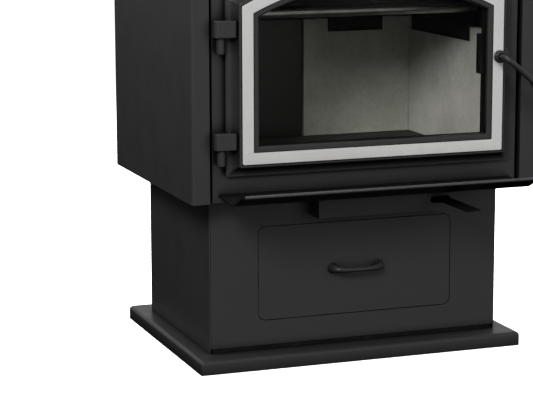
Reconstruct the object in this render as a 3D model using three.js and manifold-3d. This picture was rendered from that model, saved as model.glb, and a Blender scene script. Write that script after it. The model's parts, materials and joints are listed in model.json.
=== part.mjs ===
// Wood burning stove on a pedestal with an ash drawer.
// Millimetres, +Z up, the front faces -Y. The origin is the centre of the base plate's underside.
import * as THREE from "three";
import { mergeVertices } from "three/addons/utils/BufferGeometryUtils.js";
import Module from "manifold-3d";

const wasm = await Module();
wasm.setup();

// ---- Driving dimensions ----

const CLEARANCE = 0.3; // running or assembly gap between neighbouring pieces

const STIFFENER = { halfWidth: 50, webHalfWidth: 30, slope: 3, wall: 3 };
const BASE = { width: 714, depth: 529, thickness: 29, wall: 3, edgeRadius: 8, cornerRadius: 5 };

const PEDESTAL = { width: 642, front: -209, back: 208, bottom: BASE.thickness, top: 352, wall: 3 };
const TOE_GAP = 9; // height of the front panel's lower edge above the base plate

const DRAWER = { width: 428, bottom: 91.5, top: 284.5, cornerRadius: 14, gap: 2.2, faceThickness: 3 };
const DRAWER_BOX = { halfWidth: 195, back: 150, bottom: 97, top: 255, wall: 2 };
const RAIL = { low: 236, height: 26, wall: 2, reach: 12 };
const PULL = { halfSpan: 51.4, height: 188, standOff: 24, drop: 6, footRadius: 13, gripRadius: 5 };

const CASING = { halfWidth: 378, front: -278, back: 270, bottom: 352, top: 885, wall: 2 };
const VENT = { rows: [420, 780], columns: 7, pitch: 90, length: 60, height: 12 };
const FLANGE = { width: 38, bendRadius: 6, lipDepth: 14 };
const TOP_PLATE = { halfWidth: 384, front: -288, back: 276, thickness: 8, edgeRadius: 2.5 };

const FRONT_PLATE = { halfWidth: 333, face: -269.3, thickness: 6, top: 862 };
const FIREBOX = { halfWidth: 325, back: 225, floorTop: 375, roofTop: 851, plate: 5 };
const LINING = { halfWidth: 300, back: 198, floorTop: 403, front: -235, sideFront: -185, top: 668 };
const LINING_RAIL = { back: 183, wall: 3, drop: 30, rise: 4 }; // drop, rise: below and above the bricks' top
const BACK_CLAMP = { left: 98, right: 231 };
const BACK_SPLIT = { brickLeft: 40, plateRight: 34 };
const FLUE = { y: 90, outerRadius: 80, wall: 5, top: 932, flangeRadius: 98, flangeThickness: 6 };
const SUPPORT = { inner: 180, outer: 220, front: -240, back: 200, wall: 3 };
const BAFFLE = { front: -115, bottom: 724, thickness: 22 };
const HEADER = { lip: 6, depth: 24, low: 729, rise: 6, top: 830, wall: 3 };
const AIR_TUBE = { radius: 12, bore: 9, height: 711, places: { front: -100, middle: 0, rear: 100 } };
const ASH_HOLE = { radius: 42, brickRadius: 50, chuteRadius: 58, chuteWall: 3, chuteBottom: 300 };

// Every outline of the door is the window's outline moved outwards by an offset.
// Its straight sides and bottom are closed at the top by an arc about one fixed centre.
const WINDOW = { halfWidth: 247, bottom: 467.5, radius: 577, arcCentre: 200.7 };
const OFFSET = { trimInner: 12, trimOuter: 35.5, rim: 41.5, skirt: 61, opening: 39, seal: 48 };
const DOOR = { back: -273.3, skirtFront: -281.3, front: -308, inner: -288.2 };
const GLASS = { front: -296, thickness: 5, offset: 10 };

const HINGE = { x: -321.5, y: -292, heights: { upper: 683, lower: 462 }, blockHeight: 33.5 };
const HINGE_BLOCK = { left: -336.5, right: -289.4, front: -306, back: -278, cornerRadius: 8, bore: 5.4 };
const HINGE_POST = { radius: 8.35, height: 32, pinRadius: 5, pinRise: 24, webWidth: 9 };

const SPINDLE = { x: 275, z: 625, radius: 5.4, bossRadius: 22.5, boreRadius: 6, inner: -255.5 };
const HANDLE = { reach: -340, bend: 18, angle: -39.7, armLength: 78, gripLength: 106, gripRadius: 11.5 };
const CAM = { front: -262.6, thickness: 6, length: 42, halfWidth: 6.5, hubRadius: 8, tail: 4, angle: 120 };
const KEEPER = { left: 268, bottom: 655, top: 673 };
const LATCH_HOUSING = { left: 250, right: 286, below: 37, above: 45 }; // below and above the spindle

const LIP = { halfWidth: 320, thickness: 4.5, rollRadius: 3.4 };
const AIR_BOX = { left: -100, right: 205, front: -254, bottom: 303.5, top: 348.5, wall: 2 };
const AIR_PASSAGE = { left: -90, right: 195, bottom: 311.5, top: 344.5, cornerRadius: 3 };
const AIR_SLOT = { x: 171, z: 326.5, halfLength: 22.5, halfHeight: 7 };
const AIR_LEVER = { width: 31, thickness: 4, bottom: 327.5, front: -414, back: -150, nose: 3 };
const AIR_CHANNEL = { halfWidth: 27, back: -60, wall: 2, below: 5 }; // below: its floor under the lever
const SHUTTER = { halfWidth: 21, length: 44, thickness: 2 };

const ROUND_SIDES = 24;

// ---- Materials ----

function finish(color, roughness, metalness) {
  return new THREE.MeshStandardMaterial({ color, roughness, metalness });
}

const paint = finish(0x303030, 0.55, 0.3);
const castIron = finish(0x2a2a2a, 0.6, 0.4);
const darkSteel = finish(0x1d1d1d, 0.6, 0.5);
const nickel = finish(0xb8b8b8, 0.25, 1);
const bareSteel = finish(0x8a8a88, 0.4, 0.9);
const refractory = finish(0x8d8d86, 0.95, 0);
const rope = finish(0x5b5a55, 1, 0);
const blackGrip = finish(0x141414, 0.5, 0);
const glassMaterial = new THREE.MeshStandardMaterial({
  color: 0x99a0a0,
  roughness: 0.05,
  metalness: 0,
  transparent: true,
  opacity: 0.3,
});

// ---- Solids ----

function toSolid(geometry) {
  const bare = geometry.clone();
  bare.deleteAttribute("normal");
  bare.deleteAttribute("uv");
  const merged = mergeVertices(bare, 1e-4);
  return new wasm.Manifold(
    new wasm.Mesh({
      numProp: 3,
      vertProperties: merged.attributes.position.array,
      triVerts: Uint32Array.from(merged.index.array),
    }),
  );
}

function toGeometry(solid) {
  const mesh = solid.getMesh();
  const geometry = new THREE.BufferGeometry();
  geometry.setAttribute("position", new THREE.BufferAttribute(mesh.vertProperties, 3));
  geometry.setIndex(new THREE.BufferAttribute(mesh.triVerts, 1));
  return geometry;
}

function join(...geometries) {
  return toGeometry(geometries.map(toSolid).reduce((whole, piece) => whole.add(piece)));
}

function cut(geometry, ...tools) {
  return toGeometry(tools.map(toSolid).reduce((whole, tool) => whole.subtract(tool), toSolid(geometry)));
}

function box(x0, x1, y0, y1, z0, z1) {
  const geometry = new THREE.BoxGeometry(x1 - x0, y1 - y0, z1 - z0);
  return geometry.translate((x0 + x1) / 2, (y0 + y1) / 2, (z0 + z1) / 2);
}

// A round bar or disc between two heights on the Z axis, moved to x, y.
function uprightRod(radius, x, y, z0, z1, sides = ROUND_SIDES) {
  const geometry = new THREE.CylinderGeometry(radius, radius, z1 - z0, sides);
  return geometry.rotateX(Math.PI / 2).translate(x, y, (z0 + z1) / 2);
}

// A round bar between two places along Y, at x, z.
function levelRod(radius, x, z, y0, y1, sides = ROUND_SIDES) {
  return new THREE.CylinderGeometry(radius, radius, y1 - y0, sides).translate(x, (y0 + y1) / 2, z);
}

function extrude(shape, depth, curveSegments) {
  return new THREE.ExtrudeGeometry(shape, { depth, bevelEnabled: false, curveSegments });
}

// A shape drawn in X, Y and extruded up from z0 to z1.
function extrudeUp(shape, z0, z1, curveSegments = 5) {
  return extrude(shape, z1 - z0, curveSegments).translate(0, 0, z0);
}

// A shape drawn in X, Z and extruded along Y from y0 to y1.
function extrudeBack(shape, y0, y1, curveSegments = 5) {
  return extrude(shape, y1 - y0, curveSegments).rotateX(Math.PI / 2).translate(0, y1, 0);
}

// A shape drawn in Y, Z and extruded along X from x0 to x1.
function extrudeAcross(shape, x0, x1, curveSegments = 5) {
  const turn = new THREE.Matrix4().makeBasis(
    new THREE.Vector3(0, 1, 0),
    new THREE.Vector3(0, 0, 1),
    new THREE.Vector3(1, 0, 0),
  );
  return extrude(shape, x1 - x0, curveSegments).applyMatrix4(turn).translate(x0, 0, 0);
}

function polygon(points) {
  return new THREE.Shape(points.map(([u, v]) => new THREE.Vector2(u, v)));
}

// A rectangle with rounded corners, from its lower left to its upper right corner.
function roundedRectangle(left, low, right, high, radius, Outline = THREE.Shape) {
  const shape = new Outline();
  shape.moveTo(left + radius, low);
  shape.absarc(right - radius, low + radius, radius, -Math.PI / 2, 0);
  shape.absarc(right - radius, high - radius, radius, 0, Math.PI / 2);
  shape.absarc(left + radius, high - radius, radius, Math.PI / 2, Math.PI);
  shape.absarc(left + radius, low + radius, radius, Math.PI, Math.PI * 1.5);
  shape.closePath();
  return shape;
}

function bar(points, radius, steps, sides = 12) {
  const section = new THREE.Shape().absarc(0, 0, radius, 0, Math.PI * 2);
  const path = new THREE.CatmullRomCurve3(points.map((p) => new THREE.Vector3(...p)), false, "centripetal");
  return new THREE.ExtrudeGeometry(section, {
    steps,
    curveSegments: sides / 2, // an arc takes two points for each
    bevelEnabled: false,
    extrudePath: path,
  });
}

// Skins a row of closed loops of points, all with the same number of points.
// A ring of loops joins its last loop to its first; otherwise the two end loops are capped.
function skin(loops, isRing) {
  const size = loops[0].length;
  const positions = loops.flat().flatMap((point) => point.toArray());
  const triangles = [];
  const last = isRing ? loops.length : loops.length - 1;
  for (let i = 0; i < last; i += 1) {
    const here = i * size;
    const next = ((i + 1) % loops.length) * size;
    for (let j = 0; j < size; j += 1) {
      const k = (j + 1) % size;
      triangles.push(here + j, here + k, next + k, here + j, next + k, next + j);
    }
  }
  if (!isRing) {
    const end = (loops.length - 1) * size;
    for (let j = 1; j < size - 1; j += 1) {
      triangles.push(0, j + 1, j, end, end + j, end + j + 1);
    }
  }
  const geometry = new THREE.BufferGeometry();
  geometry.setAttribute("position", new THREE.Float32BufferAttribute(positions, 3));
  geometry.setIndex(triangles);
  return geometry;
}

const stove = new THREE.Group();

function addPart(name, geometry, material) {
  geometry.computeVertexNormals();
  const mesh = new THREE.Mesh(geometry, material);
  mesh.name = name;
  stove.add(mesh);
}

// Calls make("left", -1) and make("right", 1).
function onBothSides(make) {
  make("left", -1);
  make("right", 1);
}

// The two X limits of a piece between distances a and b from the middle, on one side.
function sideSpan(side, a, b) {
  return side < 0 ? [-b, -a] : [a, b];
}

// ---- Base plate ----

// The base plate is a folded pan, open below, with rounded upper edges.
function makeBase() {
  const arcSteps = 4;
  const loops = [];
  const levels = [[0, 0]];
  for (let i = 0; i <= arcSteps; i += 1) {
    const turn = (i / arcSteps) * (Math.PI / 2);
    const inset = BASE.edgeRadius * (1 - Math.cos(turn));
    levels.push([inset, BASE.thickness - BASE.edgeRadius * (1 - Math.sin(turn))]);
  }
  for (const [inset, z] of levels) {
    const halfWidth = BASE.width / 2 - inset;
    const halfDepth = BASE.depth / 2 - inset;
    const outline = roundedRectangle(-halfWidth, -halfDepth, halfWidth, halfDepth, BASE.cornerRadius);
    const points = outline.getPoints(3).slice(0, -1);
    loops.push(points.map((p) => new THREE.Vector3(p.x, p.y, z)));
  }
  const inner = [BASE.width / 2 - BASE.wall, BASE.depth / 2 - BASE.wall];
  const hollow = box(-inner[0], inner[0], -inner[1], inner[1], -1, BASE.thickness - BASE.wall);
  addPart("base_plate", cut(skin(loops, false), hollow), paint);

  // A hat channel under the pan stiffens it and stands on the floor at the middle.
  const reach = BASE.depth / 2 - BASE.wall - CLEARANCE;
  const high = BASE.thickness - BASE.wall - CLEARANCE;
  const { halfWidth, webHalfWidth: web, slope, wall } = STIFFENER;
  const halfHat = [
    [web, 0], [web + slope, high - wall], [halfWidth, high - wall],
    [halfWidth, high], [web, high], [web - slope, wall],
  ];
  const hat = polygon([...halfHat, ...halfHat.map(([x, z]) => [-x, z]).reverse()]);
  addPart("base_stiffener", extrudeBack(hat, -reach, reach), darkSteel);
}

// ---- Pedestal ----

function makePedestal() {
  const half = PEDESTAL.width / 2;
  const { front, back, bottom, top, wall } = PEDESTAL;
  const foot = bottom + CLEARANCE;
  const roof = top - CLEARANCE;

  // One sheet folded into the left side, the back and the right side.
  const bend = 4;
  const wrap = new THREE.Shape();
  wrap.moveTo(-half, front);
  wrap.lineTo(-half + wall, front);
  wrap.lineTo(-half + wall, back - wall);
  wrap.lineTo(half - wall, back - wall);
  wrap.lineTo(half - wall, front);
  wrap.lineTo(half, front);
  wrap.absarc(half - bend, back - bend, bend, 0, Math.PI / 2);
  wrap.absarc(-half + bend, back - bend, bend, Math.PI / 2, Math.PI);
  wrap.closePath();
  addPart("pedestal_wrap", extrudeUp(wrap, foot, roof, 3), paint);

  // The front panel stands between the sides, with the drawer's opening and the air passage in it.
  const side = half - wall - CLEARANCE;
  const panel = polygon([[-side, bottom + TOE_GAP], [side, bottom + TOE_GAP], [side, roof], [-side, roof]]);
  const g = DRAWER.gap;
  const edge = DRAWER.width / 2 + g;
  const p = AIR_PASSAGE;
  panel.holes.push(
    roundedRectangle(-edge, DRAWER.bottom - g, edge, DRAWER.top + g, DRAWER.cornerRadius + g, THREE.Path),
    roundedRectangle(p.left, p.bottom, p.right, p.top, p.cornerRadius, THREE.Path),
  );
  addPart("pedestal_front", extrudeBack(panel, front, front + wall, 5), paint);

  // The top plate carries the firebox; the ash chute drops through its hole.
  const inset = half - wall - CLEARANCE;
  const plate = extrudeUp(
    polygon([[-inset, front + wall + CLEARANCE], [inset, front + wall + CLEARANCE],
      [inset, back - wall - CLEARANCE], [-inset, back - wall - CLEARANCE]]),
    roof - 4,
    roof,
  );
  const chuteHole = uprightRod(ASH_HOLE.chuteRadius + 1, 0, 0, roof - 5, roof + 1);
  addPart("pedestal_top", cut(plate, chuteHole), darkSteel);
}

// ---- Ash drawer ----

function makeDrawer() {
  const half = DRAWER.width / 2;
  const face = PEDESTAL.front;
  const inside = face + DRAWER.faceThickness;
  const outline = roundedRectangle(-half, DRAWER.bottom, half, DRAWER.top, DRAWER.cornerRadius);
  addPart("drawer_front", extrudeBack(outline, face, inside), paint);

  // The open-topped box has a flange along each side that runs inside its rail.
  const b = DRAWER_BOX;
  const start = inside + CLEARANCE;
  const tray = cut(
    box(-b.halfWidth, b.halfWidth, start, b.back, b.bottom, b.top),
    box(
      -b.halfWidth + b.wall, b.halfWidth - b.wall,
      start + b.wall, b.back - b.wall, b.bottom + b.wall, b.top + 1,
    ),
  );
  const flangeLow = RAIL.low + 8;
  const flangeHigh = flangeLow + b.wall + 1;
  const flanges = [-1, 1].map((side) => {
    const [x0, x1] = sideSpan(side, b.halfWidth - 1, b.halfWidth + RAIL.reach - 3);
    return box(x0, x1, start, b.back, flangeLow, flangeHigh);
  });
  addPart("drawer_box", join(tray, ...flanges), darkSteel);

  onBothSides((name, side) => {
    const web = b.halfWidth + RAIL.reach;
    const [open, closed] = [b.halfWidth + 3, web + RAIL.wall];
    const [low, high] = [RAIL.low, RAIL.low + RAIL.height];
    const w = RAIL.wall;
    const channel = polygon([
      [open, low], [closed, low], [closed, high], [open, high],
      [open, high - w], [web, high - w], [web, low + w], [open, low + w],
    ].map(([x, z]) => [x * side, z]));
    const rearEnd = PEDESTAL.back - PEDESTAL.wall - CLEARANCE;
    addPart("drawer_rail_" + name, extrudeBack(channel, inside + CLEARANCE, rearEnd), bareSteel);
  });

  // A bow pull: two round feet joined by a slim grip that stands off the drawer front.
  const { halfSpan, height, standOff, drop, footRadius, gripRadius } = PULL;
  const seat = face - CLEARANCE;
  const bow = [];
  const count = 8;
  for (let i = 0; i <= count; i += 1) {
    const turn = (i / count) * Math.PI;
    const x = -halfSpan * Math.cos(turn);
    bow.push([x, seat - 2 - standOff * Math.sin(turn) ** 0.6, height - drop * Math.sin(turn)]);
  }
  const feet = [-halfSpan, halfSpan].map((x) => levelRod(footRadius, x, height, seat - 4, seat, 20));
  addPart("drawer_pull", join(bar(bow, gripRadius, 24), ...feet), castIron);
}

// ---- Outer casing ----

// Each side is one sheet: the side panel, the front flange and a short lip turned back from it.
function makeCasing() {
  const { halfWidth, front, back, bottom, top, wall } = CASING;
  onBothSides((name, side) => {
    const bend = FLANGE.bendRadius;
    const inner = halfWidth - FLANGE.width;
    const lipEnd = front + FLANGE.lipDepth;
    const plan = new THREE.Shape();
    plan.moveTo(halfWidth, back);
    plan.lineTo(halfWidth - wall, back);
    plan.lineTo(halfWidth - wall, front + bend);
    plan.absarc(halfWidth - bend, front + bend, bend - wall, 0, -Math.PI / 2, true);
    plan.lineTo(inner + wall, front + wall);
    plan.lineTo(inner + wall, lipEnd);
    plan.lineTo(inner, lipEnd);
    plan.lineTo(inner, front);
    plan.absarc(halfWidth - bend, front + bend, bend, -Math.PI / 2, 0);
    plan.closePath();
    const outline = plan.getPoints(5).map((p) => new THREE.Vector2(p.x * side, p.y));
    const sheet = extrudeUp(new THREE.Shape(outline), bottom, top - CLEARANCE);
    addPart("casing_side_" + name, sheet, paint);
  });

  const inside = halfWidth - wall - CLEARANCE;
  const backPanel = box(-inside, inside, back - wall, back, bottom, top - CLEARANCE);
  const vents = [];
  for (const z of VENT.rows) {
    for (let i = 0; i < VENT.columns; i += 1) {
      const left = (i - (VENT.columns - 1) / 2) * VENT.pitch - VENT.length / 2;
      vents.push(box(left, left + VENT.length, back - wall - 1, back + 1, z, z + VENT.height));
    }
  }
  addPart("casing_back", cut(backPanel, ...vents), paint);

  const floorFront = FRONT_PLATE.face + FRONT_PLATE.thickness + CLEARANCE;
  const floorBack = back - wall - CLEARANCE;
  const floorSheet = box(-inside, inside, floorFront, floorBack, bottom + CLEARANCE, bottom + wall);
  const chuteHole = uprightRod(ASH_HOLE.chuteRadius + 1, 0, 0, bottom - 1, bottom + 3);
  addPart("casing_floor", cut(floorSheet, chuteHole), darkSteel);

  const t = TOP_PLATE;
  const levels = [
    [0, top],
    [0, top + t.thickness - t.edgeRadius],
    [t.edgeRadius * 0.3, top + t.thickness - t.edgeRadius * 0.3],
    [t.edgeRadius, top + t.thickness],
  ];
  const loops = levels.map(([inset, z]) => {
    const x = t.halfWidth - inset;
    const outline = roundedRectangle(-x, t.front + inset, x, t.back - inset, 8).getPoints(3).slice(0, -1);
    return outline.map((p) => new THREE.Vector3(p.x, p.y, z));
  });
  const flueHole = uprightRod(FLUE.outerRadius + 2, 0, FLUE.y, top - 1, top + t.thickness + 1, 32);
  addPart("top_plate", cut(skin(loops, false), flueHole), paint);
}

// ---- Door outlines ----

// Points in X, Z around the window's outline moved outwards by an offset, anticlockwise from the front.
function archPoints(offset) {
  const halfWidth = WINDOW.halfWidth + offset;
  const bottom = WINDOW.bottom - offset;
  const radius = WINDOW.radius + offset;
  const corner = 3 + offset * 0.05;
  const cornerSteps = 3;
  const archSteps = 20;
  const points = [];
  for (const side of [-1, 1]) {
    for (let i = 0; i <= cornerSteps; i += 1) {
      const turn = (side < 0 ? Math.PI : Math.PI * 1.5) + (i / cornerSteps) * (Math.PI / 2);
      const x = side * (halfWidth - corner) + corner * Math.cos(turn);
      points.push(new THREE.Vector2(x, bottom + corner + corner * Math.sin(turn)));
    }
  }
  const halfAngle = Math.asin(halfWidth / radius);
  for (let i = 0; i <= archSteps; i += 1) {
    const turn = halfAngle * (1 - (2 * i) / archSteps);
    points.push(new THREE.Vector2(radius * Math.sin(turn), WINDOW.arcCentre + radius * Math.cos(turn)));
  }
  return points;
}

// A band that follows the window's outline: its section is a closed list of [offset, y].
function archBand(section) {
  return skin(
    section.map(([offset, y]) => archPoints(offset).map((p) => new THREE.Vector3(p.x, y, p.y))),
    true,
  );
}

function archPanel(offset, y0, y1) {
  return extrudeBack(new THREE.Shape(archPoints(offset)), y0, y1);
}

// The hollow between the door's skirt and its rim is a quarter of an ellipse, from the skirt inwards.
function covePoints(grow, steps) {
  const points = [];
  for (let i = 0; i <= steps; i += 1) {
    const turn = (i / steps) * (Math.PI / 2);
    const offset = OFFSET.skirt - (OFFSET.skirt - OFFSET.rim) * Math.sin(turn);
    const y = DOOR.front + 2 + (DOOR.skirtFront - DOOR.front - 2) * Math.cos(turn);
    points.push([offset + grow, y - grow]);
  }
  return points;
}

// ---- Firebox ----

function makeFirebox() {
  const f = FRONT_PLATE;
  const faceBack = f.face + f.thickness;
  const plate = polygon([
    [-f.halfWidth, CASING.bottom], [f.halfWidth, CASING.bottom], [f.halfWidth, f.top], [-f.halfWidth, f.top],
  ]);
  plate.holes.push(new THREE.Path(archPoints(OFFSET.opening)));
  const keeperRoot = WINDOW.halfWidth + OFFSET.opening + 4;
  const keeper = box(KEEPER.left, keeperRoot, f.face, faceBack, KEEPER.bottom, KEEPER.top);
  addPart("front_plate", join(extrudeBack(plate, f.face, faceBack), keeper), paint);

  const { halfWidth, back, floorTop, roofTop, plate: t } = FIREBOX;
  const front = faceBack + CLEARANCE;
  const floorLow = floorTop - t;
  const roofLow = roofTop - t;
  onBothSides((name, side) => {
    const [x0, x1] = sideSpan(side, halfWidth - t, halfWidth);
    const wall = box(x0, x1, front, back - t - CLEARANCE, floorTop + CLEARANCE, roofLow - CLEARANCE);
    addPart("firebox_side_" + name, wall, darkSteel);
    const s = SUPPORT;
    const [r0, r1] = sideSpan(side, s.inner, s.outer);
    const supportTop = floorLow - CLEARANCE;
    const channel = cut(
      box(r0, r1, s.front, s.back, CASING.bottom + CASING.wall + CLEARANCE, supportTop),
      box(r0 + s.wall, r1 - s.wall, s.front - 1, s.back + 1, CASING.bottom, supportTop - s.wall),
    );
    addPart("firebox_support_" + name, channel, darkSteel);
  });
  const rear = box(-halfWidth, halfWidth, back - t, back, floorTop + CLEARANCE, roofLow - CLEARANCE);
  addPart("firebox_back", rear, darkSteel);

  const floor = box(-halfWidth, halfWidth, front, back, floorLow, floorTop);
  const ashHole = uprightRod(ASH_HOLE.radius, 0, 0, floorLow - 1, floorTop + 1);
  addPart("firebox_floor", cut(floor, ashHole), darkSteel);

  const roof = box(-halfWidth, halfWidth, front, back, roofLow, roofTop);
  const flueHole = uprightRod(FLUE.outerRadius - FLUE.wall, 0, FLUE.y, roofLow - 1, roofTop + 1, 32);
  addPart("firebox_roof", cut(roof, flueHole), darkSteel);

  makeFlueCollar(roofTop + CLEARANCE);
  makeLining();
  makeAirSystem();
  makeAshChute(floorLow - CLEARANCE);
}

function makeFlueCollar(low) {
  const { outerRadius, wall, top, flangeRadius, flangeThickness } = FLUE;
  const section = [
    [outerRadius - wall, low], [flangeRadius, low], [flangeRadius, low + flangeThickness],
    [outerRadius, low + flangeThickness], [outerRadius, top - 2], [outerRadius - 1.5, top],
    [outerRadius - wall, top], [outerRadius - wall, low],
  ].map(([r, z]) => new THREE.Vector2(r, z));
  const collar = new THREE.LatheGeometry(section, 36).rotateX(Math.PI / 2).translate(0, FLUE.y, 0);
  addPart("flue_collar", collar, castIron);
}

function makeLining() {
  const l = LINING;
  const r = LINING_RAIL;
  const inner = FIREBOX.halfWidth - FIREBOX.plate - CLEARANCE;
  const plateFace = FIREBOX.back - FIREBOX.plate - CLEARANCE;
  const seat = FIREBOX.floorTop + CLEARANCE;
  const base = l.floorTop + CLEARANCE;
  const floor = box(-inner, inner, l.front, plateFace, seat, l.floorTop);
  const ashHole = uprightRod(ASH_HOLE.brickRadius, 0, 0, seat - 1, l.floorTop + 1);
  addPart("brick_floor", cut(floor, ashHole), refractory);

  onBothSides((name, side) => {
    const [x0, x1] = sideSpan(side, l.halfWidth, inner);
    addPart("brick_side_" + name, box(x0, x1, l.sideFront, plateFace, base, l.top), refractory);
    // An angle clamps the top of each side brick.
    const [a0, a1] = sideSpan(side, l.halfWidth - r.wall - CLEARANCE, l.halfWidth - CLEARANCE);
    const [b0, b1] = sideSpan(side, l.halfWidth - r.wall - CLEARANCE, inner);
    const angle = join(
      box(a0, a1, BAFFLE.front, r.back, l.top - r.drop, l.top + r.rise),
      box(b0, b1, BAFFLE.front, r.back, l.top + CLEARANCE, l.top + r.rise),
    );
    addPart("brick_rail_" + name, angle, darkSteel);
  });

  // The right half of the back wall is a refractory slab; a cast plate covers its left half.
  const { brickLeft, plateRight } = BACK_SPLIT;
  addPart("brick_back", box(brickLeft, l.halfWidth - CLEARANCE, l.back, plateFace, base, l.top), refractory);
  const castBack = box(-l.halfWidth + CLEARANCE, plateRight, l.back - 2, plateFace, base, l.top);
  addPart("cast_back_plate", castBack, castIron);
  const { left, right } = BACK_CLAMP;
  const clampFront = l.back - r.wall - CLEARANCE;
  const clamp = join(
    box(left, right, clampFront, l.back - CLEARANCE, l.top - r.drop, l.top + r.rise),
    box(left, right, clampFront, plateFace, l.top + CLEARANCE, l.top + r.rise),
  );
  addPart("brick_rail_back", clamp, darkSteel);
}

function makeAirSystem() {
  const inner = FIREBOX.halfWidth - FIREBOX.plate - CLEARANCE;
  for (const [place, y] of Object.entries(AIR_TUBE.places)) {
    const ring = new THREE.Shape().absarc(y, AIR_TUBE.height, AIR_TUBE.radius, 0, Math.PI * 2);
    ring.holes.push(new THREE.Path().absarc(y, AIR_TUBE.height, AIR_TUBE.bore, 0, Math.PI * 2));
    addPart("air_tube_" + place, extrudeAcross(ring, -inner, inner, 14), bareSteel);
  }
  const plateFace = FIREBOX.back - FIREBOX.plate - CLEARANCE;
  const low = BAFFLE.bottom;
  const board = box(-inner, inner, BAFFLE.front, plateFace, low, low + BAFFLE.thickness);
  addPart("baffle_board", board, refractory);

  // The header turns the combustion air down over the glass.
  const behind = FRONT_PLATE.face + FRONT_PLATE.thickness + CLEARANCE;
  const { lip, low: lipLow, rise, top, wall } = HEADER;
  const back = behind + HEADER.depth;
  const header = polygon([
    [behind + lip, lipLow], [back, lipLow + rise], [back, top],
    [back - wall, top], [back - wall, lipLow + rise + 2], [behind + lip, lipLow + wall],
  ]);
  addPart("air_wash_header", extrudeAcross(header, -inner, inner), darkSteel);
}

function makeAshChute(top) {
  const { chuteRadius, chuteWall, chuteBottom, radius, brickRadius } = ASH_HOLE;
  const section = [
    [chuteRadius - chuteWall, chuteBottom], [chuteRadius, chuteBottom],
    [chuteRadius, top], [chuteRadius - chuteWall, top], [chuteRadius - chuteWall, chuteBottom],
  ].map(([r, z]) => new THREE.Vector2(r, z));
  addPart("ash_chute", new THREE.LatheGeometry(section, 28).rotateX(Math.PI / 2), darkSteel);

  // A cast plug fills the hole in the floor and lifts out by its knob.
  const seat = FIREBOX.floorTop + CLEARANCE;
  const plug = [
    [0, seat - 6], [radius - 2, seat - 6], [radius - 1.5, seat], [brickRadius - 1.5, seat],
    [brickRadius - 2, LINING.floorTop - 4], [12, LINING.floorTop - 4], [8, LINING.floorTop + 2],
    [11, LINING.floorTop + 9], [8, LINING.floorTop + 13], [0, LINING.floorTop + 14],
  ].map(([r, z]) => new THREE.Vector2(r, z));
  addPart("ash_plug", new THREE.LatheGeometry(plug, 28).rotateX(Math.PI / 2), castIron);
}

// ---- Door ----

function makeDoor() {
  // The section runs from the back of the skirt, over the cove and rim, through the trim's recess
  // and the bead to the window, then back past the glass rebate and the rope groove.
  const trimSeat = DOOR.front + 3.3;
  const seal = OFFSET.seal;
  const section = [
    [OFFSET.skirt, DOOR.back],
    ...covePoints(0, 6),
    [OFFSET.rim - 2, DOOR.front],
    [OFFSET.trimOuter + 0.6, DOOR.front],
    [OFFSET.trimOuter + 0.4, trimSeat],
    [OFFSET.trimInner - 0.4, trimSeat],
    [OFFSET.trimInner - 0.6, DOOR.front],
    [4, DOOR.front],
    [1, DOOR.front + 2.5],
    [0, DOOR.front + 5],
    [0, GLASS.front - CLEARANCE],
    [GLASS.offset + 1, GLASS.front - CLEARANCE],
    [GLASS.offset + 1, DOOR.inner],
    [seal - 9, DOOR.inner],
    [seal - 9, DOOR.back],
    [seal - 5, DOOR.back],
    [seal - 5, DOOR.back - 6],
    [seal + 5, DOOR.back - 6],
    [seal + 5, DOOR.back],
  ];
  const { x, z, bossRadius, boreRadius } = SPINDLE;
  const bossBody = cut(
    levelRod(bossRadius, x, z, DOOR.front, DOOR.inner, 32),
    archPanel(OFFSET.trimOuter + 0.5, DOOR.front - 1, trimSeat),
    archPanel(GLASS.offset + 1, DOOR.front - 1, DOOR.back),
  );
  const spindleBore = levelRod(boreRadius, x, z, DOOR.front - 1, DOOR.back + 1, 20);
  addPart("door_frame", cut(join(archBand(section), bossBody), spindleBore), castIron);

  const trimTop = DOOR.front - 0.6;
  const trimBand = archBand([
    [OFFSET.trimInner, trimSeat - CLEARANCE],
    [OFFSET.trimOuter, trimSeat - CLEARANCE],
    [OFFSET.trimOuter, trimTop + 0.8],
    [OFFSET.trimOuter - 0.8, trimTop],
    [OFFSET.trimInner + 0.8, trimTop],
    [OFFSET.trimInner, trimTop + 0.8],
  ]);
  const collarNotch = levelRod(13.2, x, z, DOOR.front - 3, trimSeat + 1);
  addPart("door_trim", cut(trimBand, collarNotch), nickel);

  const glassBack = GLASS.front + GLASS.thickness;
  addPart("door_glass", archPanel(GLASS.offset, GLASS.front, glassBack), glassMaterial);
  const tape = [glassBack + CLEARANCE, DOOR.inner];
  addPart("glass_gasket", archRing(1, GLASS.offset, ...tape), rope);
  addPart("glass_retainer", archRing(3, 17, DOOR.inner + CLEARANCE, DOOR.inner + CLEARANCE + 3), darkSteel);

  const sealBack = FRONT_PLATE.face - CLEARANCE;
  addPart("door_gasket", archRing(seal - 4.6, seal + 4.6, DOOR.back - 6 + CLEARANCE, sealBack), rope);

  makeHinges();
  makeLatch();
}

// A flat ring between two offsets and two places along Y.
function archRing(innerOffset, outerOffset, y0, y1) {
  return archBand([[outerOffset, y1], [outerOffset, y0], [innerOffset, y0], [innerOffset, y1]]);
}

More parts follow.
